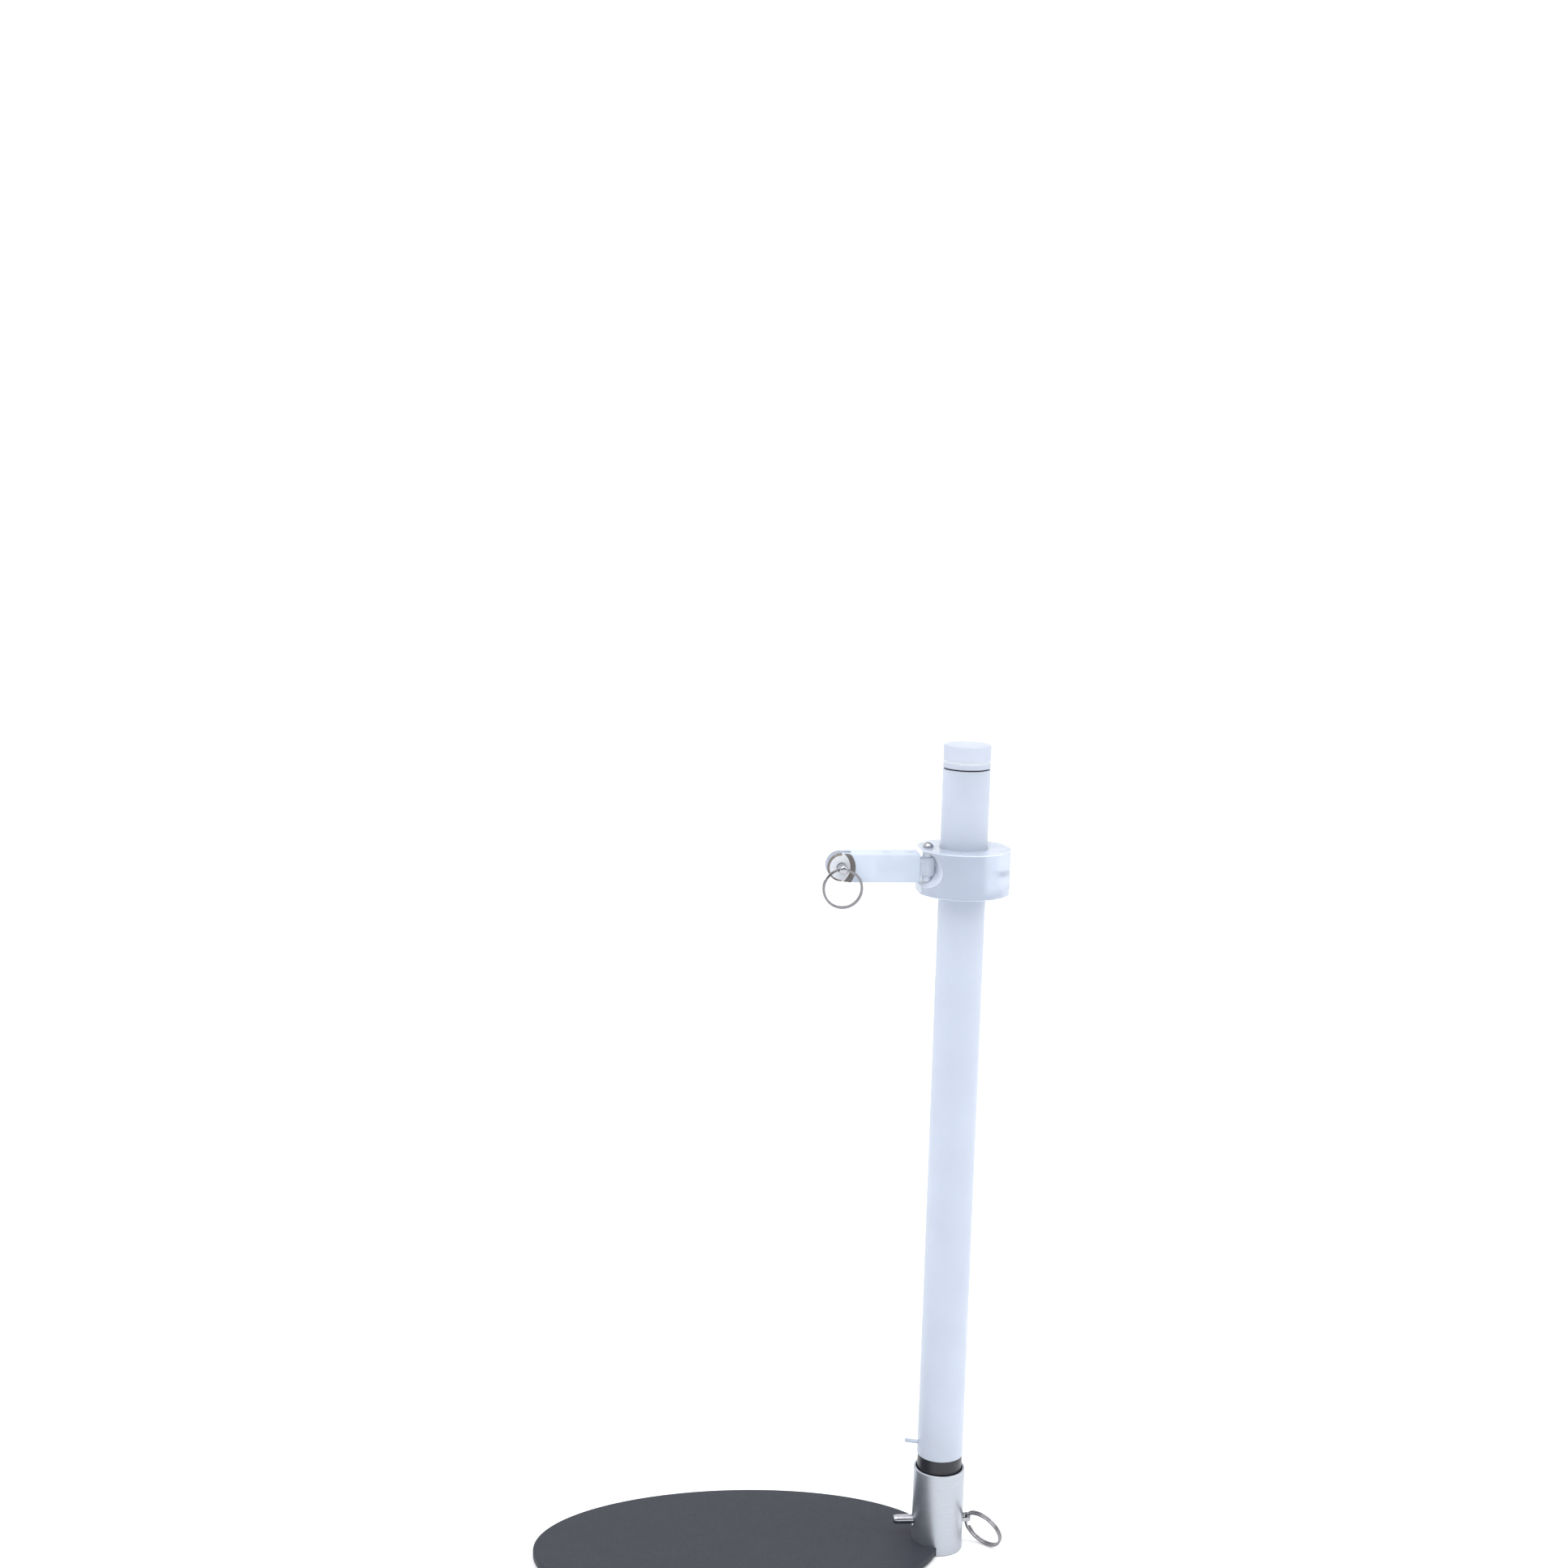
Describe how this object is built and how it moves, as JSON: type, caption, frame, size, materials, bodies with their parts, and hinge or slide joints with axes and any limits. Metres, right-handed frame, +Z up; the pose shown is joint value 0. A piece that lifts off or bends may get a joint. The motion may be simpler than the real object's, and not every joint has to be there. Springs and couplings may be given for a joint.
{
  "type": "saxophone stand",
  "caption": "Oval steel base with an upright frosted rod at its tip, and a sliding collar whose hinged forked arm holds an instrument by its strap ring.",
  "frame": {"origin": "centre of the oval base's underside, on the floor", "axes": "+Z up the mast, +X from the base's centre to the mast at its tip, and the arm points to -X"},
  "size_m": [0.2558, 0.121, 0.4477],
  "materials": {
    "powder_coat": "matt fine-textured powder coat",
    "mat_rubber": "matt",
    "aluminium": "satin",
    "steel": "polished",
    "frosted_acrylic": "frosted and translucent",
    "clear_acrylic": "polished and clear",
    "black_plastic": "satin",
    "nylon": "natural"
  },
  "bodies": {
    "base": {"base_mat": "mat_rubber", "base_plate": "powder_coat", "base_screw_front": "steel", "base_screw_back": "steel", "socket_tube": "aluminium", "socket_plug": "aluminium", "mast_tube": "frosted_acrylic", "mast_bottom_plug": "black_plastic", "mast_gasket": "mat_rubber", "mast_cap": "clear_acrylic", "rest_peg": "clear_acrylic"},
    "slider": {"friction_ring_upper": "nylon", "friction_ring_lower": "nylon"},
    "collar": {"collar": "frosted_acrylic", "set_screw_pad": "nylon", "pivot_screw": "steel", "pivot_insert": "steel", "pivot_spacer_upper": "nylon", "pivot_spacer_lower": "nylon"},
    "set_screw": {"set_screw": "steel"},
    "arm": {"knuckle": "frosted_acrylic", "arm": "frosted_acrylic", "arm_dowel_inner": "clear_acrylic", "arm_dowel_outer": "clear_acrylic"},
    "fork_pin": {"fork_pin": "steel"},
    "fork_pin_ring": {"fork_pin_ring": "steel"},
    "socket_pin": {"socket_pin": "steel"},
    "socket_pin_ring": {"socket_pin_ring": "steel"}
  },
  "joints": [
    {"name": "height_slide", "type": "slide", "parent": "base", "child": "slider", "axis": [0, 0, 1], "range_m": [-0.3, 0.054]},
    {"name": "collar_swivel", "type": "hinge", "parent": "slider", "child": "collar", "pos_m": [0.111, 0, 0.381], "axis": [0, 0, 1], "continuous": true},
    {"name": "set_screw_turn", "type": "hinge", "parent": "collar", "child": "set_screw", "pos_m": [0.1356, 0, 0.3798], "axis": [1, 0, 0], "range_deg": [0, 360]},
    {"name": "arm_yaw", "type": "hinge", "parent": "collar", "child": "arm", "pos_m": [0.092, 0, 0.3828], "axis": [0, 0, 1], "range_deg": [-35, 35]},
    {"name": "fork_pin_pull", "type": "slide", "parent": "arm", "child": "fork_pin", "axis": [0, -1, 0], "range_m": [0, 0.0135]},
    {"name": "fork_ring_swing", "type": "hinge", "parent": "fork_pin", "child": "fork_pin_ring", "pos_m": [0.0458, -0.0104, 0.3828], "axis": [1, 0, 0], "range_deg": [-150, 12]},
    {"name": "socket_pin_pull", "type": "slide", "parent": "base", "child": "socket_pin", "axis": [1, 0, 0], "range_m": [0, 0.037]},
    {"name": "socket_ring_swing", "type": "hinge", "parent": "socket_pin", "child": "socket_pin_ring", "pos_m": [0.1272, 0, 0.0156], "axis": [0, 0.5299, -0.848], "range_deg": [-125, 0]}
  ]
}
